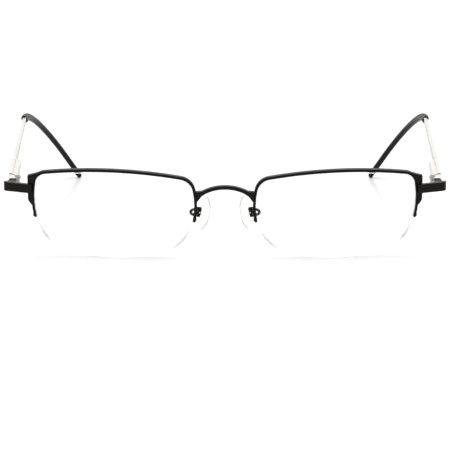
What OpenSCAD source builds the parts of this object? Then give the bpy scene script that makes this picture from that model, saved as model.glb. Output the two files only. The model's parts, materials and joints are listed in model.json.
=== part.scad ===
// Half rim eyeglasses with spring hinges
// Metal brow eyewires, lenses held below by a nylon cord, adjustable nose pads and
// temples that fold on sprung hinges. Modelled open, standing on the lenses and tips.
//
// Frames used below, all in millimetres:
//   front frame    X to the wearer's left, Y back, Z up along the lens plane
//   wearing frame  the front tipped by the pantoscopic angle, temples level at the hinge
//   row frame      the wearing frame tipped by the stance angle, on the floor at Z = 0

/* [Lenses] */
// Width of one lens
lens_width = 49.2; // [44:0.2:56]
// Height of one lens between its corner circles and the floor line
lens_height = 27.9; // [24:0.05:33]
// Distance between the two lenses
lens_gap_width = 18.4; // [16:0.2:22]
// Thickness of a lens
lens_thickness = 1.8; // [1.6:0.1:2.6]
// Radius of the front surface of a lens
base_radius = 130; // [95:1:260]
// Outward turn of each lens, the face form
face_form = 4; // [2:0.5:6]
// Height of the middle of the lens curve above the floor line
curve_height = 15; // [12:0.5:18]

/* [Lens outline] */
// Radius of the upper corner beside the nose
top_nasal_radius = 4.6; // [3.8:0.1:5.6]
// Radius of the upper corner beside the temple
top_temporal_radius = 3.5; // [2.8:0.1:4.2]
// Radius of the lower corner beside the temple
low_temporal_radius = 9; // [7.5:0.1:10.5]
// Radius of the lower corner beside the nose
low_nasal_radius = 11.9; // [9.8:0.1:12.6]
// Radius of the upper edge
top_edge_radius = 115; // [95:1:160]
// Radius of the edge beside the temple
temporal_edge_radius = 28; // [26:0.5:60]
// Radius of the lower edge
low_edge_radius = 54; // [50:1:120]
// Radius of the edge beside the nose
nasal_edge_radius = 24; // [22:0.5:60]
// Distance from the nose line to the upper nose corner
top_nasal_inset = 0.6; // [0.4:0.1:0.8]
// Distance from the upper nose corner up to the lens height
top_nasal_drop = 2.6; // [2.4:0.1:2.8]
// Distance from the temple line to the upper temple corner
top_temporal_inset = 0.45; // [0.35:0.05:0.6]
// Distance from the upper temple corner up to the lens height
top_temporal_drop = 1.8; // [1.6:0.1:2]
// Distance from the temple line to the lower temple corner
low_temporal_inset = 1.3; // [1.1:0.1:1.5]
// Height of the lower temple corner above the floor line
low_temporal_lift = 2.7; // [2.5:0.1:2.9]
// Distance from the nose line to the lower nose corner
low_nasal_inset = 0.7; // [0.6:0.1:0.8]
// Height of the lower nose corner above the floor line
low_nasal_lift = 1.5; // [1.4:0.1:1.6]

/* [Eyewire] */
// Height of the eyewire seen from the front
wire_height = 0.85; // [0.75:0.05:1.2]
// Depth of the eyewire from front to back
wire_depth = 1.4; // [1.2:0.1:1.6]
// Gap between the eyewire and the edge of the lens
wire_gap = 0.05; // [0.03:0.01:0.1]
// Height at which the leg beside the nose ends
nasal_leg_end = 11.9; // [11.2:0.1:14]
// Height at which the leg beside the temple ends
temporal_leg_end = 12.4; // [11.2:0.1:14]
// Radius of the swelling that anchors the cord
anchor_radius = 0.62; // [0.5:0.01:0.75]
// Height of the swelling above the end of a leg
anchor_drop = 0.4; // [0.3:0.1:0.8]
// Height of the cord hole above the end of a leg
anchor_rise = 1.9; // [1.5:0.1:2.4]

/* [Liner and cord] */
// Width of the groove round the lens, from front to back
groove_width = 0.6; // [0.5:0.05:0.7]
// Depth of the groove in the edge of the lens
groove_depth = 0.5; // [0.35:0.05:0.6]
// Depth of the channel in the eyewire
channel_depth = 0.4; // [0.3:0.05:0.45]
// Clearance beside the cord and liner in the groove
cord_side_gap = 0.05; // [0.03:0.01:0.08]
// Clearance between nylon and the bottom of its groove
cord_gap = 0.04; // [0.02:0.01:0.08]
// Diameter of the cord where it passes through a leg
cord_diameter = 0.42; // [0.3:0.02:0.44]

/* [Temporal plates] */
// Width of the plate outside the eyewire
plate_width = 1.05; // [0.9:0.05:1.6]
// Thickness of the plate
plate_depth = 1.2; // [1:0.1:1.4]
// Height of the outer top corner of the plate
plate_top = 25.3; // [24:0.1:26]
// Height at which the full width of the plate ends
plate_foot = 17.6; // [16.6:0.1:18.4]
// Height from the cord hole to the end of the taper
plate_tail = 1; // [0.8:0.1:1.6]
// Share of the plate width lost over the first part of the taper
plate_waist = 0.55; // [0.4:0.05:0.7]
// Length of the first part of the taper
plate_taper = 1; // [0.8:0.1:1.4]
// Height of the top of the plate above its outer corner
plate_rise = 1.25; // [1:0.05:1.5]
// Radius of the outer top corner
plate_corner = 0.5; // [0.3:0.1:0.8]

/* [Bridge] */
// Height of the top of the bridge
bridge_top = 23.7; // [22.5:0.1:24.4]
// Thickness of the bridge at its middle
bridge_height = 1.1; // [0.8:0.05:1.3]
// Radius of the upper side of the arch
bridge_radius = 12.6; // [11.8:0.1:15]
// Radius of the lower side of the arch
bridge_inner_radius = 11.4; // [10.8:0.1:12.2]
// Length of the solder fillets that join the bridge to the eyewires
solder_run = 2.2; // [1.8:0.1:2.6]
// Height of the upper fillet at the eyewire
solder_rise = 1.5; // [1:0.1:1.7]
// Height of the lower fillet at the eyewire
solder_fall = 0.9; // [0.6:0.1:1.2]
// Depth of the bridge from front to back
bridge_depth = 1.5; // [1.2:0.1:1.8]
// Radius of the forward bow of the bridge, seen from above
bow_radius = 25; // [20:1:40]
// Distance from the front of the bow to the front of the lenses
bow_front = 0.4; // [0:0.1:1]

/* [End pieces] */
// Angle between the temples and the square of the front
pantoscopic = 4.55; // [2:0.05:8]
// Distance from the outer edge of the plate to the outer face of an end piece
bar_reach = 7.6; // [6.6:0.1:8.6]
// Height of the bar
bar_height = 2.8; // [2.4:0.1:3.2]
// Thickness of the bar
bar_thickness = 1.2; // [1:0.05:1.5]
// Backward sweep of the bar
bar_sweep = 22; // [16:1:30]
// Outer radius of the corner
corner_radius = 1.8; // [1.5:0.1:2.4]
// Distance behind the front at which the corner ends
corner_depth = 7.25; // [6:0.05:9]
// Inward run of the outer face between the corner and the temple
return_toe = 0.85; // [0.4:0.05:1.2]
// Length of bar that laps the plate and the eyewire
bar_lap = 1.5; // [1.2:0.1:1.8]
// Height of the hinge above the floor line in the wearing frame
hinge_height = 21.5; // [20.6:0.1:22.2]

/* [Hinges] */
// Distance from the outer face of an end piece to the hinge axis
hinge_inset = 2.8; // [2.7:0.05:3.2]
// Distance from the corner back to the hinge axis
hinge_setback = 5.95; // [5.4:0.05:8]
// Thickness of the wall of the eye, the middle of the barrel
eye_wall = 0.35; // [0.3:0.05:0.5]
// Radius of the hinge barrel
barrel_radius = 1.2; // [1.05:0.05:1.3]
// Total height of the barrel
barrel_height = 3.0; // [2.6:0.1:3.4]
// Height of the eye between the two knuckles
eye_height = 1.2; // [1:0.1:1.4]
// Radius of the hinge screw
screw_radius = 0.46; // [0.38:0.02:0.52]
// Radial clearance of a pin in its hole
pin_gap = 0.04; // [0.02:0.01:0.08]
// Clearance between the eye and each knuckle
eye_gap = 0.06; // [0.04:0.01:0.1]
// Distance from the hinge axis forward to the web that joins the knuckles
web_back = 1.3; // [1.25:0.05:1.5]
// Depth of the web
web_depth = 1.3; // [0.8:0.1:1.6]
// Radius of the screw head
screw_head_radius = 0.85; // [0.7:0.05:1]
// Height of the screw head
screw_head_height = 0.45; // [0.3:0.05:0.6]
// Width of the slot in the screw head
screw_slot = 0.22; // [0.16:0.02:0.3]
// Distance from the hinge axis to the end of the end piece
end_overhang = 2.3; // [2:0.05:2.6]
// Gap between the end piece and the temple
butt_gap = 0.7; // [0.6:0.05:1]

/* [Spring units] */
// Distance from the front of the temple back to the housing
housing_step = 0.2; // [0.1:0.1:0.5]
// Thickness of the wall beside the bore
bore_wall = 0.2; // [0.15:0.05:0.3]
// Height of the spring housing
housing_height = 2.4; // [2.2:0.1:2.8]
// Length of the spring housing
housing_length = 20; // [16:0.5:22]
// Diameter of the bore in the housing
housing_bore = 1.2; // [1.1:0.05:1.25]
// Diameter of the rod
rod_diameter = 0.6; // [0.5:0.05:0.65]
// Half the width of the neck between the eye and the rod
neck_half = 0.15; // [0.12:0.01:0.2]
// Length of the stop ring on the rod
ring_length = 1.2; // [0.8:0.1:1.6]
// Thickness of the wall at the mouth of the housing
housing_wall = 1; // [0.8:0.1:1.4]
// Length of the rod inside the housing
rod_length = 10; // [9:0.5:11]
// Clearance of the coil to the rod and to the bore
spring_gap = 0.06; // [0.05:0.01:0.08]
// Number of turns of the spring
spring_turns = 7; // [5:1:9]

/* [Temples] */
// Length from the hinge axis to the end of the tip, along the bend
temple_length = 138; // [130:1:146]
// Thickness of the temple
temple_thickness = 1.1; // [0.9:0.05:1.3]
// Height of the temple at the hinge
temple_height = 3.2; // [2.8:0.1:3.8]
// Height of the slim part of the temple
temple_slim = 1.5; // [1.3:0.1:1.9]
// Outward angle of the open temples
temple_splay = 1.85; // [0.5:0.05:3]
// Length of the taper behind the spring housing
taper_length = 26; // [15:1:35]

/* [Tips] */
// Length of the tip along its bend
tip_length = 52.4; // [49:0.2:58]
// Thickness of the tip
tip_thickness = 1.8; // [1.7:0.1:2.4]
// Width of the tip in the plane of its bend
tip_width = 2.7; // [2.4:0.1:3.6]
// Angle of the bend
tip_bend = 77; // [60:0.5:79]
// Radius of the bend
tip_bend_radius = 32; // [27:0.5:34]
// Inward roll of the bend
tip_roll = 31.7; // [10:0.1:34]
// Diameter of the wire inside the tip
core_diameter = 1.0; // [0.8:0.1:1.1]
// Share of the straight end of the tip that the wire reaches
core_share = 0.8; // [0.5:0.05:0.9]
// Clearance between the wire and the tip
core_gap = 0.03; // [0.02:0.01:0.06]

/* [Nose pads] */
// Length of a pad
pad_length = 11; // [9.5:0.5:13]
// Width of a pad
pad_width = 6.25; // [5.5:0.25:7]
// Radius of the upper end of a pad as a share of its width
pad_top_share = 0.4; // [0.36:0.01:0.46]
// Thickness of a pad
pad_thickness = 2.2; // [2:0.1:2.6]
// Turn of the pads, seen from above
pad_turn = 150; // [145:1:155]
// Tilt of the pads towards the nose
pad_tilt = 15; // [8:1:20]
// Distance from the middle to the pivot of a pad
pad_pivot_x = 8.1; // [7.7:0.1:9]
// Distance from the front to the pivot of a pad
pad_pivot_y = 7.4; // [7:0.1:8.5]
// Height of the pivot of a pad
pad_pivot_z = 12.7; // [12:0.1:13.6]
// Distance from the pivot back to the pad
pad_back = 1.0; // [0.9:0.1:1.4]
// Radius of the domed face of a pad
pad_dome = 9; // [8:0.5:14]
// Width of the pad box, along the pad screw
box_width = 1.3; // [1.2:0.05:1.6]
// Length of the pad box
box_length = 3.2; // [3:0.1:3.8]
// Distance from the pivot to the back of the pad box
box_back = 0.75; // [0.7:0.05:0.9]
// Distance from the pivot to the mouth of the pad box
box_mouth = 0.45; // [0.35:0.05:0.55]
// Wall of the pad box
box_wall = 0.2; // [0.15:0.05:0.25]
// Radius of the pad screw
pad_screw_radius = 0.25; // [0.2:0.01:0.27]
// Radius of the head of the pad screw
pad_head_radius = 0.45; // [0.36:0.01:0.5]
// Height of the head of the pad screw
pad_head_height = 0.25; // [0.2:0.05:0.4]
// Width of the stem of the pad insert, along the pad screw
stem_width = 0.8; // [0.7:0.05:0.85]
// Length of the stem
stem_length = 1.4; // [1.2:0.1:1.5]
// Distance from the pivot to the end of the stem
stem_back = 0.42; // [0.38:0.01:0.45]
// Depth of pad behind the plate of the insert
stem_cover = 0.5; // [0.4:0.1:0.7]
// Thickness of the plate of the insert
insert_plate = 0.4; // [0.3:0.1:0.5]
// Height at which the pad arm leaves the eyewire
arm_root = 14.9; // [14.6:0.1:15.6]
// Length of pad arm before its loop
arm_lead = 1.2; // [1:0.1:1.6]
// Backward lean of the loop from straight down
arm_fall = 35; // [25:1:45]
// Radius of the pad arm wire
arm_radius = 0.42; // [0.35:0.01:0.46]
// Radius of the loop in the pad arm
arm_loop = 1.55; // [1.4:0.05:1.7]

/* [Hidden] */

$fn = 96;
LEFT = 1;
RIGHT = -1;
BLACK = "#1b1918";
STEEL = "#c9c5be";
CLEAR = "#e6eef0";

// how far a cutting or covering shape runs past what it cuts
reach = 6;
// share of its radius by which a length of wire runs past a joint
joint_share = 0.9;
// angle of bend by which the wire of a tip runs on into the temple
core_start = 2;
// angle left out of the half round at the end of a leg
leg_round = 20;
// share of the eye radius at which the neck starts
neck_root = 0.8;
// how far solids that make one piece run into each other
bite = 0.1;

nasal_line = lens_gap_width / 2;
temporal_line = nasal_line + lens_width;
lens_middle = nasal_line + lens_width / 2;
sphere_x = lens_middle - base_radius * sin(face_form);

// corner circles of the lens outline, as [x, z, radius]
top_nasal = [
    nasal_line + top_nasal_radius + top_nasal_inset,
    lens_height - top_nasal_radius - top_nasal_drop,
    top_nasal_radius
];
top_temporal = [
    temporal_line - top_temporal_radius - top_temporal_inset,
    lens_height - top_temporal_radius - top_temporal_drop,
    top_temporal_radius
];
low_temporal = [
    temporal_line - low_temporal_radius - low_temporal_inset,
    low_temporal_radius + low_temporal_lift,
    low_temporal_radius
];
low_nasal = [
    nasal_line + low_nasal_radius + low_nasal_inset,
    low_nasal_radius + low_nasal_lift,
    low_nasal_radius
];

// centre of the circle of radius r that holds corner circles a and b, on the right of a to b
function edge_centre(a, b, r) =
    let (d = [b[0] - a[0], b[1] - a[1]],
         span = norm(d),
         u = d / span,
         along = (span * span + pow(r - a[2], 2) - pow(r - b[2], 2)) / (2 * span),
         across = sqrt(pow(r - a[2], 2) - along * along))
    [a[0] + along * u[0] + across * u[1], a[1] + along * u[1] - across * u[0]];

top_centre = edge_centre(top_nasal, top_temporal, top_edge_radius);
temporal_centre = edge_centre(top_temporal, low_temporal, temporal_edge_radius);
low_centre = edge_centre(low_temporal, low_nasal, low_edge_radius);
nasal_centre = edge_centre(low_nasal, top_nasal, nasal_edge_radius);

// points of an arc, without the last
function arc(centre, radius, from, to, steps) = [
    for (i = [0:steps - 1])
        let (turn = from + (to - from) * i / steps)
        [centre[0] + radius * cos(turn), centre[1] + radius * sin(turn)]
];

function heading(from, to) = atan2(to[1] - from[1], to[0] - from[0]);
function clockwise(from, to) = to > from ? to - 360 : to;

// the lens outline as a chain of tangent arcs, clockwise from the upper nose corner
corners = [top_nasal, top_temporal, low_temporal, low_nasal];
edge_centres = [top_centre, temporal_centre, low_centre, nasal_centre];
edge_radii = [top_edge_radius, temporal_edge_radius, low_edge_radius, nasal_edge_radius];
edge_steps = [16, 5, 14, 5];
corner_steps = 8;
arch_steps = 24;
coil_slices = 14;

function corner_points(i, grow) =
    let (c = corners[i],
         start = heading(edge_centres[(i + 3) % 4], c),
         end = clockwise(start, heading(edge_centres[i], c)))
    arc(c, c[2] + grow, start, end, corner_steps);

function edge_points(i, grow) =
    let (start = heading(edge_centres[i], corners[i]),
         end = clockwise(start, heading(edge_centres[i], corners[(i + 1) % 4])))
    arc(edge_centres[i], edge_radii[i] + grow, start, end, edge_steps[i]);

function outline_points(grow) = [
    for (i = [0:3])
        each concat(corner_points(i, grow), edge_points(i, grow))
];

// depth of the front surface of a lens at a point of the front frame
function lens_depth(x, z) =
    base_radius - sqrt(pow(base_radius, 2) - pow(x - sphere_x, 2) - pow(z - curve_height, 2));

wire_outer = wire_gap + wire_height;
wire_setback = (lens_thickness - wire_depth) / 2;
groove_setback = (lens_thickness - groove_width) / 2;
cord_width = groove_width - 2 * cord_side_gap;
cord_setback = (lens_thickness - cord_width) / 2;
wire_middle = wire_gap + wire_height / 2;

// middle of the wire of each leg at height z
function nasal_leg(z) =
    nasal_centre[0] - sqrt(pow(nasal_edge_radius + wire_middle, 2) - pow(z - nasal_centre[1], 2));
function temporal_leg(z) =
    temporal_centre[0] + sqrt(pow(temporal_edge_radius + wire_middle, 2) - pow(z - temporal_centre[1], 2));

nasal_anchor = nasal_leg_end + anchor_rise;
temporal_anchor = temporal_leg_end + anchor_rise;

plate_out = temporal_line + wire_outer + plate_width;
bridge_centre = bridge_top - bridge_radius;
bridge_inner_centre = bridge_top - bridge_height - bridge_inner_radius;

end_out = plate_out + bar_reach;
eye_radius = screw_radius + pin_gap + eye_wall;
housing_width = housing_bore + 2 * bore_wall;
spring_wire = (housing_bore - rod_diameter) / 2 - 2 * spring_gap;
hinge_x = end_out - return_toe - hinge_inset;
hinge_y = corner_depth + hinge_setback;
strip_out = hinge_inset;
strip_in = strip_out - temple_thickness;
strip_middle = (strip_in + strip_out) / 2;
housing_middle = strip_in - housing_width / 2;
butt = end_overhang + butt_gap;
housing_front = butt + housing_step;
tip_start = temple_length - tip_length;
tip_run = tip_length - tip_bend_radius * tip_bend * PI / 180 - tip_thickness / 2;
core_run = tip_run * core_share;

// lowest round of the tip in the wearing frame, as [y, z]
tip_half = (tip_width - tip_thickness) / 2;
tip_ahead = tip_bend_radius * sin(tip_bend) + tip_run * cos(tip_bend) - tip_half * sin(tip_bend);
tip_below = tip_bend_radius * (1 - cos(tip_bend)) + tip_run * sin(tip_bend) + tip_half * cos(tip_bend);
tip_in = strip_middle - tip_below * sin(tip_roll);
tip_y = hinge_y + (tip_start + tip_ahead) * cos(temple_splay) - tip_in * sin(temple_splay);
tip_z = hinge_height - tip_below * cos(tip_roll);

// lowest point of a lens in the wearing frame, as [y, z]
low_line = low_centre[1] - low_edge_radius;
low_depth = lens_depth(low_centre[0], low_line);
low_y = low_depth * cos(pantoscopic) - low_line * sin(pantoscopic);
low_z = low_depth * sin(pantoscopic) + low_line * cos(pantoscopic);

// angle that sets the lenses and the tips on the floor together
stance_run = norm([tip_y - low_y, low_z - tip_z]);
stance = atan2(low_z - tip_z, tip_y - low_y) + asin(tip_thickness / 2 / stance_run);
floor_z = low_y * sin(stance) + low_z * cos(stance);
front_y = -(lens_height + wire_height) * sin(pantoscopic + stance) + wire_setback;
back_y = tip_y * cos(stance) - tip_z * sin(stance) + tip_thickness;
middle_y = (front_y + back_y) / 2;

// ---- frames ----

module sided(side) {
    if (side == LEFT) {
        children();
    } else {
        mirror([1, 0, 0]) children();
    }
}

module in_wearing(side) {
    translate([0, -middle_y, -floor_z])
        rotate([stance, 0, 0])
            sided(side) children();
}

module in_front(side) {
    in_wearing(side)
        rotate([pantoscopic, 0, 0]) children();
}

module in_hinge(side) {
    in_wearing(side)
        translate([hinge_x, hinge_y, hinge_height]) children();
}

module in_temple(side) {
    in_hinge(side)
        rotate([0, 0, -temple_splay]) children();
}

module in_pad(side) {
    in_front(side)
        translate([pad_pivot_x, pad_pivot_y, pad_pivot_z])
            rotate([0, 0, pad_turn])
                rotate([0, pad_tilt, 0]) children();
}

// ---- lens outline and the curved sheets cut from it ----

module lens_outline(grow = 0) {
    polygon(outline_points(grow));
}

// the area above (or below) the given heights at the nose side and the temple side
module band(nasal_z, temporal_z, up) {
    tall = up * (lens_height + reach);
    translate([nasal_line - reach, min(nasal_z, nasal_z + tall)])
        square([lens_middle - nasal_line + reach, lens_height + reach]);
    translate([lens_middle, min(temporal_z, temporal_z + tall)])
        square([temporal_line - lens_middle + reach, lens_height + reach]);
}

module plank(deep) {
    translate([0, deep, 0])
        rotate([90, 0, 0])
            linear_extrude(deep + reach) children();
}

module sheet(setback, thickness) {
    intersection() {
        plank(reach * 2) children();
        translate([sphere_x, base_radius, curve_height])
            difference() {
                sphere(r = base_radius - setback, $fn = 200);
                sphere(r = base_radius - setback - thickness, $fn = 200);
            }
    }
}

module cord_tail(x, z, out, radius) {
    translate([x, lens_depth(x, z) + lens_thickness / 2, z])
        rotate([0, 90 * out, 0])
            translate([0, 0, -wire_middle - cord_width / 2])
                cylinder(r = radius, h = wire_height + wire_gap + cord_width, $fn = 32);
}

module cord_tails(radius) {
    cord_tail(nasal_leg(nasal_anchor), nasal_anchor, -1, radius);
    cord_tail(temporal_leg(temporal_anchor), temporal_anchor, 1, radius);
}

// ---- front ----

// one side of the wire, from the end of the nose leg over the top to the end of the temple leg
function wire_points(grow) =
    let (start = 180 - asin((nasal_leg_end - nasal_centre[1]) / (nasal_edge_radius + grow)),
         end = asin((temporal_leg_end - temporal_centre[1]) / (temporal_edge_radius + grow)))
    concat(
        arc(nasal_centre, nasal_edge_radius + grow, start, heading(nasal_centre, top_nasal), 4),
        corner_points(0, grow),
        edge_points(0, grow),
        corner_points(1, grow),
        arc(temporal_centre, temporal_edge_radius + grow, heading(temporal_centre, top_temporal), end, 5),
        arc(temporal_centre, temporal_edge_radius + grow, end, end + 1, 1)
    );

function reversed(list) = [for (i = [len(list) - 1:-1:0]) list[i]];

module rim_profile() {
    nasal_end = [nasal_leg(nasal_leg_end), nasal_leg_end];
    temporal_end = [temporal_leg(temporal_leg_end), temporal_leg_end];
    nasal_turn = heading(nasal_centre, nasal_end);
    temporal_turn = heading(temporal_centre, temporal_end);
    polygon(concat(
        wire_points(wire_outer),
        arc(temporal_end, wire_height / 2, temporal_turn - leg_round, temporal_turn - 180, corner_steps),
        reversed(wire_points(wire_gap)),
        arc(nasal_end, wire_height / 2, nasal_turn + 180 - leg_round, nasal_turn, corner_steps)
    ));
}

// everything inside the outer line of the wire, above the ends of its legs
module wire_blank() {
    polygon(wire_points(wire_outer));
}

// thicker part of each leg, where the cord is anchored
module anchor_profile() {
    difference() {
        union() {
            translate([nasal_leg(nasal_leg_end + anchor_drop), nasal_leg_end + anchor_drop])
                circle(r = anchor_radius, $fn = 24);
            translate([temporal_leg(temporal_leg_end + anchor_drop), temporal_leg_end + anchor_drop])
                circle(r = anchor_radius, $fn = 24);
        }
        lens_outline(wire_gap);
    }
}

module rim(side) {
    color(BLACK)
        in_front(side)
            difference() {
                union() {
                    sheet(wire_setback, wire_depth) rim_profile();
                    sheet(wire_setback - bite, wire_depth + 2 * bite) anchor_profile();
                }
                sheet(groove_setback, groove_width) lens_outline(wire_gap + channel_depth);
                cord_tails(cord_diameter / 2 + pin_gap);
            }
}

module liner(side) {
    color(CLEAR)
        in_front(side)
            sheet(cord_setback, cord_width)
                intersection() {
                    difference() {
                        lens_outline(wire_gap + channel_depth - cord_gap);
                        lens_outline(cord_gap - groove_depth);
                    }
                    band(nasal_anchor + cord_width, temporal_anchor + cord_width, 1);
                }
}

module cord(side) {
    color(CLEAR)
        in_front(side)
            union() {
                sheet(cord_setback, cord_width)
                    intersection() {
                        difference() {
                            lens_outline(wire_gap);
                            lens_outline(cord_gap - groove_depth);
                        }
                        band(nasal_anchor + cord_diameter / 2, temporal_anchor + cord_diameter / 2, -1);
                    }
                cord_tails(cord_diameter / 2);
            }
}

module lens(side) {
    color(CLEAR, 0.35)
        in_front(side)
            difference() {
                sheet(0, lens_thickness) lens_outline();
                sheet(groove_setback, groove_width)
                    difference() {
                        lens_outline(reach);
                        lens_outline(-groove_depth);
                    }
            }
}

module plate_profile() {
    difference() {
        union() {
            polygon([
                [top_temporal[0], plate_foot],
                [temporal_leg(temporal_anchor + plate_tail), temporal_anchor + plate_tail],
                [plate_out - plate_width * plate_waist, plate_foot - plate_taper],
                [plate_out, plate_foot],
                [plate_out, plate_top - plate_corner],
                [plate_out - plate_corner, plate_top],
                [top_temporal[0] + top_temporal_radius / 2, plate_top + plate_rise],
                [top_temporal[0], plate_top]
            ]);
            translate([plate_out - plate_corner, plate_top - plate_corner])
                circle(r = plate_corner, $fn = 32);
        }
        wire_blank();
    }
}

module plate(side) {
    color(BLACK)
        difference() {
            in_front(side)
                sheet(wire_setback, plate_depth) plate_profile();
            bar_blank(side);
        }
}

// height of an arch of the bridge at distance x from the middle
function arch(centre, radius, x) = centre + sqrt(radius * radius - x * x);

// the bridge seen from the front: two arches and a fillet at each end
module bridge_front() {
    start = nasal_line - solder_run;
    end = nasal_line + bite;
    top_turn = acos(start / bridge_radius);
    low_turn = acos(start / bridge_inner_radius);
    top = [0, bridge_centre];
    low = [0, bridge_inner_centre];
    end_high = arch(bridge_centre, bridge_radius, end) + solder_rise;
    end_low = arch(bridge_inner_centre, bridge_inner_radius, end) - solder_fall;
    polygon(concat(
        arc(top, bridge_radius, top_turn, 180 - top_turn, arch_steps),
        arc(top, bridge_radius, 180 - top_turn, 180, 1),
        [[-end, end_high], [-end, end_low]],
        arc(low, bridge_inner_radius, 180 - low_turn, low_turn, arch_steps),
        arc(low, bridge_inner_radius, low_turn, 0, 1),
        [[end, end_low], [end, end_high]]
    ));
}

module bridge() {
    tall = bridge_top * 2;
    color(BLACK)
        in_front(LEFT)
            difference() {
                intersection() {
                    plank(reach) bridge_front();
                    translate([0, bow_radius - bow_front, 0])
                        difference() {
                            cylinder(r = bow_radius, h = tall, $fn = 160);
                            translate([0, 0, -bite])
                                cylinder(r = bow_radius - bridge_depth, h = tall + 2 * bite, $fn = 160);
                        }
                    translate([-nasal_line - wire_height, -reach, 0])
                        cube([2 * (nasal_line + wire_height), 2 * reach, tall]);
                }
                for (side = [LEFT, RIGHT]) {
                    sided(side) plank(2 * reach) wire_blank();
                }
            }
}

// ---- end pieces and hinges ----

module bar_bend() {
    difference() {
        circle(r = corner_radius, $fn = 64);
        circle(r = corner_radius - bar_thickness, $fn = 64);
        rotate(bar_sweep - 180) translate([0, -reach]) square([reach, reach * 2]);
        translate([-reach, 0]) square([reach * 2, reach]);
    }
}

module bar_plan() {
    centre_x = end_out - corner_radius;
    bar_length = (centre_x - plate_out + bar_lap) / cos(bar_sweep) + corner_radius * tan(bar_sweep);
    translate([centre_x, corner_depth]) {
        bar_bend();
        rotate(bar_sweep)
            translate([-bar_length, -corner_radius]) square([bar_length, bar_thickness]);
    }
}

module bar_blank(side) {
    in_wearing(side)
        translate([0, 0, hinge_height - bar_height / 2])
            linear_extrude(bar_height) bar_plan();
}

module end_bar(side) {
    color(BLACK)
        difference() {
            bar_blank(side);
            in_front(side)
                plank(2 * reach) wire_blank();
        }
}

// the return seen from above, from the corner back; extra thickens it outwards
module return_plan(extra) {
    run = hinge_setback + end_overhang;
    polygon([
        [extra, 0],
        [extra - return_toe, run],
        [-return_toe - bar_thickness, run],
        [-bar_thickness, 0]
    ]);
}

module end_return(side) {
    color(STEEL)
        in_wearing(side)
            translate([end_out, corner_depth, hinge_height - bar_height / 2])
                linear_extrude(bar_height) return_plan(0);
}

module knuckle_plan() {
    circle(r = barrel_radius, $fn = 48);
    translate([0, -web_back - web_depth])
        square([hinge_inset, web_back + web_depth + barrel_radius]);
}

module hinge_block(side) {
    knuckle_low = eye_height / 2 + eye_gap;
    color(STEEL)
        difference() {
            in_hinge(side)
                difference() {
                    union() {
                        for (low = [knuckle_low, -barrel_height / 2]) {
                            translate([0, 0, low])
                                linear_extrude(barrel_height / 2 - knuckle_low) knuckle_plan();
                        }
                        translate([0, -web_back - web_depth, -barrel_height / 2])
                            cube([hinge_inset, web_depth, barrel_height]);
                    }
                    cylinder(r = screw_radius + pin_gap, h = barrel_height * 2, center = true, $fn = 48);
                }
            in_wearing(side)
                translate([end_out, corner_depth, hinge_height - barrel_height])
                    linear_extrude(barrel_height * 2) return_plan(reach);
        }
}

module hinge_screw(side) {
    head_top = barrel_height / 2 + screw_head_height;
    color(STEEL)
        in_hinge(side)
            difference() {
                union() {
                    translate([0, 0, -barrel_height / 2])
                        cylinder(r = screw_radius, h = barrel_height + bite, $fn = 48);
                    translate([0, 0, barrel_height / 2])
                        cylinder(r = screw_head_radius, h = screw_head_height, $fn = 48);
                }
                translate([0, 0, head_top])
                    cube([screw_head_radius * 3, screw_slot, screw_slot * 2], center = true);
            }
}

// ---- spring units ----

module carriage_plan() {
    neck_out = housing_middle + neck_half;
    neck_in = housing_middle - neck_half;
    neck_end = housing_front - pin_gap;
    circle(r = eye_radius, $fn = 48);
    polygon([
        [0, 0],
        [eye_radius * neck_root, 0],
        [neck_out, barrel_radius],
        [neck_out, neck_end],
        [neck_in, neck_end],
        [0, barrel_radius]
    ]);
}

module carriage(side) {
    color(STEEL)
        in_temple(side)
            difference() {
                union() {
                    translate([0, 0, -eye_height / 2])
                        linear_extrude(eye_height) carriage_plan();
                    translate([housing_middle, housing_front - pin_gap - bite, 0])
                        rotate([-90, 0, 0])
                            cylinder(d = rod_diameter, h = rod_length + pin_gap + bite, $fn = 32);
                }
                cylinder(r = screw_radius + pin_gap, h = barrel_height * 2, center = true, $fn = 48);
            }
}

module stop_ring(side) {
    color(STEEL)
        in_temple(side)
            translate([housing_middle, housing_front + rod_length - ring_length, 0])
                rotate([-90, 0, 0])
                    difference() {
                        cylinder(d = housing_bore - 2 * pin_gap, h = ring_length, $fn = 48);
                        translate([0, 0, -bite])
                            cylinder(d = rod_diameter, h = ring_length + 2 * bite, $fn = 32);
                    }
}

module spring(side) {
    spring_length = rod_length - ring_length - housing_wall - 2 * pin_gap;
    color(STEEL)
        in_temple(side)
            translate([housing_middle, housing_front + housing_wall + pin_gap, 0])
                rotate([-90, 0, 0])
                    linear_extrude(
                        spring_length,
                        twist = 360 * spring_turns,
                        slices = coil_slices * spring_turns,
                        segments = 6
                    )
                        translate([(rod_diameter + housing_bore) / 4, 0])
                            circle(d = spring_wire, $fn = 6);
}

module housing(side) {
    color(STEEL)
        in_temple(side)
            difference() {
                translate([strip_in - housing_width, housing_front, -housing_height / 2])
                    linear_extrude(housing_height)
                        polygon([
                            [0, 0],
                            [housing_width, 0],
                            [housing_width, housing_length],
                            [0, housing_length - housing_width]
                        ]);
                translate([housing_middle, housing_front + housing_wall, 0])
                    rotate([-90, 0, 0])
                        cylinder(d = housing_bore, h = rod_length - housing_wall + bite, $fn = 48);
                translate([housing_middle, housing_front - bite, 0])
                    rotate([-90, 0, 0])
                        cylinder(d = rod_diameter + 2 * pin_gap, h = housing_wall + 2 * bite, $fn = 32);
            }
}

// ---- temples ----

// stands a section drawn as [back, up] and gives it width along X
module across(from, to) {
    translate([from, 0, 0])
        rotate([90, 0, 90])
            linear_extrude(to - from) children();
}

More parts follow.
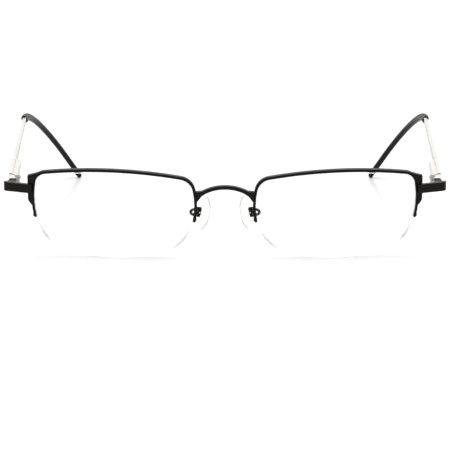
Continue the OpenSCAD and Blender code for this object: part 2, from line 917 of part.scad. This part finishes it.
module temple_side() {
    taper_start = housing_front + housing_length;
    polygon([
        [butt, -temple_height / 2],
        [taper_start, -temple_height / 2],
        [taper_start + taper_length, -temple_slim / 2],
        [tip_start, -temple_slim / 2],
        [tip_start, temple_slim / 2],
        [taper_start + taper_length, temple_slim / 2],
        [taper_start, temple_height / 2],
        [butt, temple_height / 2]
    ]);
}

module in_tip(side) {
    in_temple(side)
        translate([strip_middle, tip_start, 0])
            rotate([0, tip_roll, 0]) children();
}

// carries a section drawn as [in the bend, across the bend] along the tip; the bend runs
// back from the straight part, and on by the angle before the start of the tip
module along_tip(run, before) {
    in_run() {
        rotate([-90, 0, 0])
            linear_extrude(run) rotate(90) children();
        translate([0, 0, -tip_bend_radius])
            mirror([0, 1, 0])
                rotate([0, -90, 0])
                    rotate_extrude(angle = tip_bend + before)
                        translate([tip_bend_radius, 0]) children();
    }
}

// the straight part behind the bend, along Y from its start
module in_run() {
    translate([0, tip_bend_radius * sin(tip_bend), tip_bend_radius * (cos(tip_bend) - 1)])
        rotate([-tip_bend, 0, 0]) children();
}

module temple(side) {
    color(STEEL) {
        in_temple(side)
            across(strip_in, strip_out) temple_side();
        in_tip(side)
            along_tip(core_run, core_start) circle(d = core_diameter, $fn = 32);
    }
}

module tip(side) {
    color(BLACK)
        in_tip(side)
            difference() {
                union() {
                    along_tip(tip_run, 0) oval(tip_width, tip_thickness);
                    in_run()
                        translate([0, tip_run, 0]) {
                            cylinder(d = tip_thickness, h = tip_half * 2, center = true, $fn = 48);
                            for (end = [-1, 1]) {
                                translate([0, 0, end * tip_half]) sphere(d = tip_thickness, $fn = 48);
                            }
                        }
                }
                along_tip(core_run + core_gap, core_start)
                    circle(d = core_diameter + 2 * core_gap, $fn = 32);
            }
}

// ---- nose pads ----

module oval(long, short) {
    square([long - short, short], center = true);
    for (end = [-1, 1]) {
        translate([end * (long - short) / 2, 0]) circle(d = short, $fn = 48);
    }
}

module pad_arm(side) {
    drop = [0, sin(arm_fall), -cos(arm_fall)] * 2 * arm_loop;
    root_x = nasal_leg(arm_root);
    root = [root_x, lens_depth(root_x, arm_root) + wire_setback + wire_depth, arm_root];
    turn = root + [0, arm_lead, 0];
    foot = turn + drop;
    pivot = [pad_pivot_x, pad_pivot_y, pad_pivot_z];
    last = pivot - foot;
    past = arm_radius * joint_share;
    color(BLACK)
        difference() {
            in_front(side) {
                intersection() {
                    translate(root - [0, arm_lead, 0])
                        rotate([-90, 0, 0])
                            cylinder(r = arm_radius, h = 2 * arm_lead + past, $fn = 32);
                    translate([sphere_x, base_radius, curve_height])
                        sphere(r = base_radius - wire_setback - wire_depth, $fn = 200);
                }
                translate(turn + drop / 2)
                    rotate([arm_fall - 90, 0, 0])
                        rotate([0, 0, -90])
                            rotate_extrude(angle = 180)
                                translate([arm_loop, 0]) circle(r = arm_radius, $fn = 32);
                translate(foot)
                    rotate([0, acos(last[2] / norm(last)), atan2(last[1], last[0])])
                        translate([0, 0, -past])
                            cylinder(r = arm_radius, h = norm(last) + past, $fn = 32);
            }
            in_pad(side) pad_box_blank(reach);
        }
}

// solid of the pad box; it opens towards the nose
module pad_box_blank(mouth) {
    across(-box_back, mouth) rotate(90) oval(box_length, box_width);
}

module pad_screw_hole(gap) {
    rotate([90, 0, 0])
        cylinder(r = pad_screw_radius + gap, h = box_width * 3, center = true, $fn = 24);
}

module pad_box(side) {
    color(BLACK)
        in_pad(side)
            difference() {
                pad_box_blank(box_mouth);
                across(-box_back + box_wall, box_mouth + reach)
                    rotate(90) oval(box_length - 2 * box_wall, box_width - 2 * box_wall);
                pad_screw_hole(pin_gap / 2);
            }
}

module pad_screw(side) {
    color(STEEL)
        in_pad(side)
            rotate([90, 0, 0]) {
                translate([0, 0, -box_width / 2 - bite])
                    cylinder(r = pad_screw_radius, h = box_width + 2 * bite, $fn = 24);
                translate([0, 0, box_width / 2])
                    cylinder(r = pad_head_radius, h = pad_head_height, $fn = 32);
            }
}

module pad_insert_blank() {
    across(-stem_back, pad_back + stem_cover)
        square([stem_width, stem_length], center = true);
    across(pad_back + stem_cover, pad_back + stem_cover + insert_plate)
        rotate(90) oval(pad_length / 2, pad_width / 2);
}

module pad_insert(side) {
    color(CLEAR)
        in_pad(side)
            difference() {
                pad_insert_blank();
                pad_screw_hole(pin_gap);
            }
}

// an egg with its wide end down
module pad_outline() {
    low = pad_width / 2;
    high = pad_width * pad_top_share;
    run = pad_length - low - high;
    lean = asin((low - high) / run);
    foot = low - pad_length / 2;
    polygon(concat(
        arc([0, foot], low, 180 - lean, 360 + lean, 22),
        arc([0, foot + run], high, lean, 180 - lean, 16)
    ));
}

module nose_pad(side) {
    color(CLEAR, 0.6)
        in_pad(side)
            difference() {
                intersection() {
                    across(pad_back, pad_back + pad_thickness + bite) pad_outline();
                    translate([pad_back + pad_thickness - pad_dome, 0, 0])
                        sphere(r = pad_dome, $fn = 96);
                }
                pad_insert_blank();
            }
}

bridge();
rim(RIGHT);  // rim_right
rim(LEFT);  // rim_left
liner(RIGHT);  // liner_right
liner(LEFT);  // liner_left
cord(RIGHT);  // cord_right
cord(LEFT);  // cord_left
lens(RIGHT);  // lens_right
lens(LEFT);  // lens_left
plate(RIGHT);  // plate_right
plate(LEFT);  // plate_left
end_bar(RIGHT);  // end_bar_right
end_bar(LEFT);  // end_bar_left
end_return(RIGHT);  // end_return_right
end_return(LEFT);  // end_return_left
hinge_block(RIGHT);  // hinge_block_right
hinge_block(LEFT);  // hinge_block_left
hinge_screw(RIGHT);  // hinge_screw_right
hinge_screw(LEFT);  // hinge_screw_left
carriage(RIGHT);  // carriage_right
carriage(LEFT);  // carriage_left
spring(RIGHT);  // spring_right
spring(LEFT);  // spring_left
stop_ring(RIGHT);  // stop_ring_right
stop_ring(LEFT);  // stop_ring_left
housing(RIGHT);  // housing_right
housing(LEFT);  // housing_left
temple(RIGHT);  // temple_right
temple(LEFT);  // temple_left
tip(RIGHT);  // tip_right
tip(LEFT);  // tip_left
pad_arm(RIGHT);  // pad_arm_right
pad_arm(LEFT);  // pad_arm_left
pad_box(RIGHT);  // pad_box_right
pad_box(LEFT);  // pad_box_left
pad_screw(RIGHT);  // pad_screw_right
pad_screw(LEFT);  // pad_screw_left
pad_insert(RIGHT);  // pad_insert_right
pad_insert(LEFT);  // pad_insert_left
nose_pad(RIGHT);  // nose_pad_right
nose_pad(LEFT);  // nose_pad_left
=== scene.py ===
import json
import math

import bmesh
import bpy
from mathutils import Matrix, Vector


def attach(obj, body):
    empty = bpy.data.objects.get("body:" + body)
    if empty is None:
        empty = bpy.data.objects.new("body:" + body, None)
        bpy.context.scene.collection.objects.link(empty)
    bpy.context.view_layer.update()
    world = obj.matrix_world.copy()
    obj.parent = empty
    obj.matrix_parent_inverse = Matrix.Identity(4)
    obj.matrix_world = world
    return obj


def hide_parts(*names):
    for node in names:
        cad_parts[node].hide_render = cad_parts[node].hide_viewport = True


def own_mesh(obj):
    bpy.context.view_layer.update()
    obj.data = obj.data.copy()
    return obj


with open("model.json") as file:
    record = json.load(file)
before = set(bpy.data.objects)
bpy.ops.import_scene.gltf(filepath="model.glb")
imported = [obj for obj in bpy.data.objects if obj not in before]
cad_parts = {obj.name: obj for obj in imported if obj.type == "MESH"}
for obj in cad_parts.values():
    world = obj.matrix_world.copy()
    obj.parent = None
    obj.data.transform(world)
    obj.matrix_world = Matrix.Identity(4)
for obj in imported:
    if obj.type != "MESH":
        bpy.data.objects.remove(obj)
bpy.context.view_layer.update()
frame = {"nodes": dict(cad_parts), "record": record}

MM = 0.001

# ---- measures of the eyeglasses, in millimetres and degrees ----

MIDDLE_Y = 65.038
FLOOR_Z = 0.184
STANCE = 3.392
PANTOSCOPIC = 4.55
PAD_PIVOT = Vector((8.1, 7.4, 12.7))
PAD_TURN = 150
PAD_TILT = 15
PAD_LENGTH = 11
PAD_WIDTH = 6.25
PAD_BACK = 1.0
PAD_THICKNESS = 2.2
PAD_DOME = 9
PAD_TOP_SHARE = 0.4
PAD_BACK_SHARE = 0.45
PAD_ROLL = 7
PAD_ARC_STEPS = 40
PAD_RINGS = 24
PAD_EDGE_RINGS = [0.98, 0.995]
HINGE = Vector((64.3, 13.2, 21.5))
SPLAY = 1.85
COIL_X = 0.9
COIL_START = 4.24
COIL_END = 11.96
COIL_TURNS = 7
COIL_RADIUS = 0.45
COIL_CLOSED_SHARE = 0.08
COIL_CLOSED_RISE = 0.04
STEPS_PER_TURN = 28
WIRE_SIDES = 10
WIRE_RADIUS = 0.09


# ---- node materials ----

class Surface:
    """A node material, with short calls for the nodes it is made of."""

    def __init__(self, name):
        self.material = bpy.data.materials.new(name)
        self.material.use_nodes = True
        self.tree = self.material.node_tree
        self.tree.nodes.clear()
        self.place = self.tree.nodes.new("ShaderNodeTexCoord").outputs["Object"]

    def node(self, kind, values=None, links=None, **settings):
        made = self.tree.nodes.new(kind)
        for key, value in settings.items():
            setattr(made, key, value)
        for key, value in (values or {}).items():
            made.inputs[key].default_value = value
        for key, source in (links or {}).items():
            self.tree.links.new(source, made.inputs[key])
        return made

    def noise(self, scale, detail=4, roughness=0.5, stretch=(1, 1, 1)):
        spread = self.node("ShaderNodeMapping", {"Scale": stretch}, {"Vector": self.place})
        return self.node(
            "ShaderNodeTexNoise",
            {"Scale": scale, "Detail": detail, "Roughness": roughness},
            {"Vector": spread.outputs["Vector"]},
        ).outputs["Fac"]

    def ranged(self, source, low, high, start=0.3, end=0.7):
        values = {"From Min": start, "From Max": end, "To Min": low, "To Max": high}
        return self.node("ShaderNodeMapRange", values, {"Value": source}).outputs["Result"]

    def ramp(self, source, stops):
        made = self.node("ShaderNodeValToRGB", links={"Fac": source})
        ramp = made.color_ramp
        while len(ramp.elements) < len(stops):
            ramp.elements.new(1)
        for element, (position, color) in zip(ramp.elements, stops):
            element.position = position
            element.color = (*color, 1)
        return made.outputs["Color"]

    def bump(self, source, strength, distance, normal=None):
        links = {"Height": source}
        if normal:
            links["Normal"] = normal
        values = {"Strength": strength, "Distance": distance}
        return self.node("ShaderNodeBump", values, links).outputs["Normal"]

    def mix(self, factor, first, second):
        made = self.node("ShaderNodeMixShader", links={0: factor, 1: first, 2: second})
        return made.outputs["Shader"]

    def finish(self, shader):
        self.node("ShaderNodeOutputMaterial", links={"Surface": shader})
        return self.material


def lacquered_metal():
    """Black lacquer over metal: orange peel, faint dust marks, slightly worn high spots."""
    s = Surface("black_metal")
    color = s.ramp(s.noise(900, 5, 0.6), [
        (0.0, (0.003, 0.0025, 0.002)),
        (0.6, (0.0045, 0.0038, 0.003)),
        (1.0, (0.009, 0.0075, 0.0065)),
    ])
    fine = s.noise(9000, 3, 0.6)
    peel = s.bump(s.noise(2200, 2, 0.4), 0.12, 0.00003)
    grain = s.bump(fine, 0.08, 0.00001, peel)
    metal = s.node(
        "ShaderNodeBsdfPrincipled",
        {"Metallic": 0.0, "Specular IOR Level": 0.1, "Coat Weight": 0.03, "Coat Roughness": 0.18},
        {
            "Base Color": color,
            "Roughness": s.ranged(s.noise(600, 6, 0.7), 0.26, 0.42),
            "Normal": grain,
        },
    )
    return s.finish(metal.outputs["BSDF"])


def brushed_steel():
    """Nickel silver with a brushed grain along the temples, light handling marks."""
    s = Surface("steel")
    brushed = s.noise(5200, 6, 0.7, (1, 0.03, 1))
    tone = s.ramp(s.noise(350, 4, 0.6), [
        (0.0, (0.50, 0.475, 0.44)),
        (0.5, (0.60, 0.58, 0.55)),
        (1.0, (0.70, 0.68, 0.655)),
    ])
    marks = s.noise(1500, 8, 0.75)
    metal = s.node(
        "ShaderNodeBsdfPrincipled",
        {"Metallic": 1.0, "Anisotropic": 0.35},
        {
            "Base Color": tone,
            "Roughness": s.ranged(marks, 0.24, 0.42),
            "Normal": s.bump(brushed, 0.16, 0.00002),
        },
    )
    return s.finish(metal.outputs["BSDF"])


def tip_plastic():
    """Polished black acetate with a faint cloudiness and moulding texture."""
    s = Surface("tip")
    color = s.ramp(s.noise(260, 5, 0.65), [
        (0.0, (0.0035, 0.003, 0.0025)),
        (0.7, (0.0055, 0.0048, 0.004)),
        (1.0, (0.01, 0.009, 0.0075)),
    ])
    plastic = s.node(
        "ShaderNodeBsdfPrincipled",
        {"Specular IOR Level": 0.16, "Coat Weight": 0.03, "Coat Roughness": 0.2},
        {
            "Base Color": color,
            "Roughness": s.ranged(s.noise(800, 6, 0.7), 0.3, 0.46),
            "Normal": s.bump(s.noise(3000, 3, 0.5), 0.1, 0.00002),
        },
    )
    return s.finish(plastic.outputs["BSDF"])


def thin_clear(name, face, edge_shade, shine, haze, haze_color=(0.9, 0.9, 0.88)):
    """Clear material: the view passes through, with painted shade that greys it where the wall is
    seen edge on, standing in for refraction.
    """
    s = Surface(name)
    smudge = s.noise(220, 6, 0.7)
    ripple = s.bump(s.noise(60, 2, 0.4), 0.02, 0.00005)
    edge_on = s.node("ShaderNodeLayerWeight", {"Blend": 0.35}, {"Normal": ripple}).outputs["Facing"]
    # painted shade: the see-through colour turns grey towards edge-on walls, in place of refraction
    edge_shade_tint = s.ramp(edge_on, [(0.0, face), (0.75, face), (1.0, edge_shade)])
    through = s.node("ShaderNodeBsdfTransparent", links={"Color": edge_shade_tint}).outputs["BSDF"]
    gloss = s.node(
        "ShaderNodeBsdfGlossy",
        links={"Roughness": s.ranged(smudge, 0.02, 0.07), "Normal": ripple},
    ).outputs["BSDF"]
    mirror = s.node("ShaderNodeFresnel", {"IOR": shine}, {"Normal": ripple}).outputs["Fac"]
    clear = s.mix(mirror, through, gloss)
    if haze == 0:
        return s.finish(clear)
    body = s.node(
        "ShaderNodeBsdfPrincipled",
        {"Base Color": (*haze_color, 1), "Subsurface Weight": 0.4, "Subsurface Scale": 0.002},
        {
            "Roughness": s.ranged(s.noise(2600, 4, 0.6), 0.3, 0.5),
            "Normal": s.bump(s.noise(4200, 3, 0.5), 0.12, 0.00002),
        },
    ).outputs["BSDF"]
    cloud = s.ranged(s.noise(500, 4, 0.6), haze * 0.8, haze * 1.2)
    return s.finish(s.mix(cloud, clear, body))


def white_floor():
    """Smooth white table: fine paper grain and a weak sheen."""
    s = Surface("floor")
    table = s.node(
        "ShaderNodeBsdfPrincipled",
        {"Base Color": (0.93, 0.93, 0.93, 1), "Specular IOR Level": 0.5},
        {
            "Roughness": s.ranged(s.noise(40, 4, 0.6), 0.16, 0.2),
            "Normal": s.bump(s.noise(900, 2, 0.5), 0.01, 0.00002),
        },
    )
    return s.finish(table.outputs["BSDF"])


SURFACES = {
    "black_metal": lacquered_metal(),
    "steel": brushed_steel(),
    "tip": tip_plastic(),
    # the second colour of each clear material is its painted shade for walls seen edge on
    "lens": thin_clear("lens", (0.998, 0.998, 0.998), (0.86, 0.87, 0.87), 1.12, 0),
    "nylon": thin_clear("nylon", (0.99, 0.99, 0.99), (0.88, 0.89, 0.89), 1.15, 0.05),
    "insert": thin_clear("insert", (0.995, 0.99, 0.985), (0.93, 0.92, 0.9), 1.08, 0.02),
    "silicone": thin_clear(
        "silicone", (0.992, 0.986, 0.978), (0.95, 0.94, 0.92), 1.08, 0.05, (0.96, 0.93, 0.9)
    ),
}

# edge rounding of each slot, in millimetres
EDGES = {
    "black_metal": 0.12,
    "steel": 0.08,
    "tip": 0.1,
    "lens": 0.08,
    "nylon": 0.0,
    "insert": 0.05,
    "silicone": 0.0,
}
BEVEL_SEGMENTS = 3
CREASE = math.radians(38)
WELD_GAP = 0.002
FLAT_FACE_WEIGHT = 80


# ---- CAD nodes ----

def dress(obj, surface, rounding):
    """Give a CAD node its material, smooth shading and rounded edges."""
    obj.data.materials.clear()
    obj.data.materials.append(SURFACES[surface])
    obj.data.polygons.foreach_set("use_smooth", [True] * len(obj.data.polygons))
    weld = obj.modifiers.new("weld", "WELD")
    weld.merge_threshold = WELD_GAP * MM
    if rounding:
        bevel = obj.modifiers.new("bevel", "BEVEL")
        bevel.width = rounding * MM
        bevel.segments = BEVEL_SEGMENTS
        bevel.limit_method = "ANGLE"
        bevel.angle_limit = CREASE
        bevel.use_clamp_overlap = True
        normals = obj.modifiers.new("normals", "WEIGHTED_NORMAL")
        normals.weight = FLAT_FACE_WEIGHT
    else:
        split = obj.modifiers.new("split", "EDGE_SPLIT")
        split.split_angle = CREASE


slots = {part["node"]: part["material_slot"] for part in frame["record"]["subparts"]}
for name, node in frame["nodes"].items():
    dress(node, slots[name], EDGES[slots[name]])


# ---- pieces made here ----

def worn_place(side):
    """From the upright glasses, front at y = 0, to the frame; side mirrors the wearer's right."""
    return (
        Matrix.Translation(Vector((0, -MIDDLE_Y, -FLOOR_Z)) * MM)
        @ Matrix.Rotation(math.radians(STANCE), 4, "X")
        @ Matrix.Diagonal((side, 1, 1, 1))
    )


def join_rings(mesh, rings):
    """A wall of quads between each closed ring and the next."""
    for first, second in zip(rings, rings[1:]):
        for i in range(len(first)):
            j = (i + 1) % len(first)
            mesh.faces.new((first[i], first[j], second[j], second[i]))


def placed_object(name, mesh, place, surface):
    """Move the bmesh into the frame and make it a smooth object."""
    bmesh.ops.transform(mesh, matrix=place, verts=mesh.verts)
    bmesh.ops.recalc_face_normals(mesh, faces=mesh.faces)
    data = bpy.data.meshes.new(name)
    mesh.to_mesh(data)
    mesh.free()
    data.polygons.foreach_set("use_smooth", [True] * len(data.polygons))
    data.materials.append(SURFACES[surface])
    made = bpy.data.objects.new(name, data)
    bpy.context.scene.collection.objects.link(made)
    return made


# ---- silicone nose pads ----

def pad_place(side):
    return (
        worn_place(side)
        @ Matrix.Rotation(math.radians(PANTOSCOPIC), 4, "X")
        @ Matrix.Translation(PAD_PIVOT * MM)
        @ Matrix.Rotation(math.radians(PAD_TURN), 4, "Z")
        @ Matrix.Rotation(math.radians(PAD_TILT), 4, "Y")
    )


def pad_outline(steps):
    """Egg with its wide end down, as (across, up) in millimetres."""
    low = PAD_WIDTH / 2
    high = PAD_WIDTH * PAD_TOP_SHARE
    run = PAD_LENGTH - low - high
    foot = low - PAD_LENGTH / 2
    lean = math.asin((low - high) / run)
    points = []
    for i in range(steps):
        turn = math.pi - lean + (math.pi + 2 * lean) * i / steps
        points.append((low * math.cos(turn), foot + low * math.sin(turn)))
    for i in range(steps):
        turn = lean + (math.pi - 2 * lean) * i / steps
        points.append((high * math.cos(turn), foot + run + high * math.sin(turn)))
    return points


def pad_shape(name, side):
    """A soft domed pad with a rolled edge, hollowed slightly round its mount."""
    outline = pad_outline(PAD_ARC_STEPS)
    shares = [i / PAD_RINGS for i in range(1, PAD_RINGS)] + PAD_EDGE_RINGS
    mesh = bmesh.new()

    def front(across, up):
        reach = math.hypot(across, up)
        return PAD_THICKNESS - (PAD_DOME - math.sqrt(PAD_DOME ** 2 - reach ** 2))

    def ring(share, outer):
        made = []
        roll = math.sqrt(1 - share ** PAD_ROLL)
        for across, up in outline:
            thickness = front(across * share, up * share)
            middle = thickness * PAD_BACK_SHARE
            swell = (thickness - middle) * roll if outer else -middle * math.sqrt(roll)
            depth = PAD_BACK + middle + swell
            made.append(mesh.verts.new(Vector((depth, across * share, up * share)) * MM))
        return made

    rings = [ring(share, True) for share in shares]
    rings += [ring(share, False) for share in reversed(shares)]
    join_rings(mesh, rings)
    for end, outer in ((rings[0], True), (rings[-1], False)):
        depth = PAD_BACK + (PAD_THICKNESS if outer else 0)
        middle = mesh.verts.new(Vector((depth, 0, 0)) * MM)
        for i in range(len(outline)):
            mesh.faces.new((end[i], end[(i + 1) % len(outline)], middle))
    return placed_object(name, mesh, pad_place(side), "silicone")


for word, side in (("right", -1), ("left", 1)):
    pad = pad_shape("pad_skin_" + word, side)
    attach(pad, "pad_" + word)
    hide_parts("nose_pad_" + word)


# ---- coil springs, parented to the carriage bodies ----

def temple_place(side):
    return (
        worn_place(side)
        @ Matrix.Translation(HINGE * MM)
        @ Matrix.Rotation(math.radians(-SPLAY), 4, "Z")
    )


def coil_shape(name, place):
    """Round wire wound on the rod, with flat closed ends."""
    steps = COIL_TURNS * STEPS_PER_TURN
    length = COIL_END - COIL_START - 2 * WIRE_RADIUS
    mesh = bmesh.new()
    rings = []
    for i in range(steps + 1):
        share = i / steps
        turn = 2 * math.pi * COIL_TURNS * share
        open_share = (share - COIL_CLOSED_SHARE) / (1 - 2 * COIL_CLOSED_SHARE)
        eased = min(max(open_share, 0), 1)
        rise = COIL_CLOSED_RISE * share + (1 - COIL_CLOSED_RISE) * eased
        y = COIL_START + WIRE_RADIUS + length * rise
        outward = Vector((math.cos(turn), 0, math.sin(turn)))
        middle = Vector((COIL_X, y, 0)) + COIL_RADIUS * outward
        ring = []
        for k in range(WIRE_SIDES):
            angle = 2 * math.pi * k / WIRE_SIDES
            offset = WIRE_RADIUS * (math.cos(angle) * outward + math.sin(angle) * Vector((0, 1, 0)))
            ring.append(mesh.verts.new((middle + offset) * MM))
        rings.append(ring)
    join_rings(mesh, rings)
    mesh.faces.new(rings[0])
    mesh.faces.new(rings[-1])
    return placed_object(name, mesh, place, "steel")


for word, side in (("right", -1), ("left", 1)):
    place = temple_place(side)
    coil = coil_shape("coil_" + word, place)
    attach(coil, "carriage_" + word)
    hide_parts("spring_" + word)
    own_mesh(coil)


# ---- stage ----

def plane(name, size, material):
    """A square on the ground, size in metres."""
    data = bpy.data.meshes.new(name)
    half = size / 2
    corners = [(-half, -half, 0), (half, -half, 0), (half, half, 0), (-half, half, 0)]
    data.from_pydata(corners, [], [(0, 1, 2, 3)])
    data.materials.append(material)
    made = bpy.data.objects.new(name, data)
    bpy.context.scene.collection.objects.link(made)
    return made


def softbox(name, place, size, watts, aim):
    """A rectangular area light turned towards aim, in metres."""
    light = bpy.data.lights.new(name, "AREA")
    light.shape = "RECTANGLE"
    light.size, light.size_y = size
    light.energy = watts
    made = bpy.data.objects.new(name, light)
    made.location = place
    made.rotation_euler = (Vector(aim) - Vector(place)).to_track_quat("-Z", "Y").to_euler()
    bpy.context.scene.collection.objects.link(made)


plane("floor", 8, white_floor())
LIGHT_AIM = (0, -0.03, 0.01)
softbox("overhead", (0, 0.1, 1.2), (1.6, 1.2), 10, LIGHT_AIM)
softbox("behind", (0, 1.4, 0.9), (1.8, 0.8), 5, LIGHT_AIM)
softbox("left_fill", (-1.2, -0.7, 0.8), (0.8, 0.8), 1, LIGHT_AIM)
softbox("right_fill", (1.2, -0.7, 0.8), (0.8, 0.8), 1, LIGHT_AIM)

world = bpy.data.worlds.new("studio")
world.use_nodes = True
sky = world.node_tree.nodes["Background"]
sky.inputs["Color"].default_value = (1, 1, 1, 1)
sky.inputs["Strength"].default_value = 0.8
bpy.context.scene.world = world
bpy.context.scene.view_settings.view_transform = "Standard"

# ---- camera ----

TARGET = Vector((0, -MIDDLE_Y, 10.5)) * MM
DISTANCE = 0.7
ELEVATION = math.radians(12)
FOCAL_LENGTH = 183.16
SENSOR_WIDTH = 36

camera_data = bpy.data.cameras.new("camera")
camera_data.lens = FOCAL_LENGTH
camera_data.sensor_width = SENSOR_WIDTH
camera_data.clip_start = 0.01
camera_data.dof.use_dof = False
camera = bpy.data.objects.new("camera", camera_data)
camera.location = TARGET + DISTANCE * Vector((0, -math.cos(ELEVATION), math.sin(ELEVATION)))
camera.rotation_euler = (math.pi / 2 - ELEVATION, 0, 0)
bpy.context.scene.collection.objects.link(camera)
bpy.context.scene.camera = camera
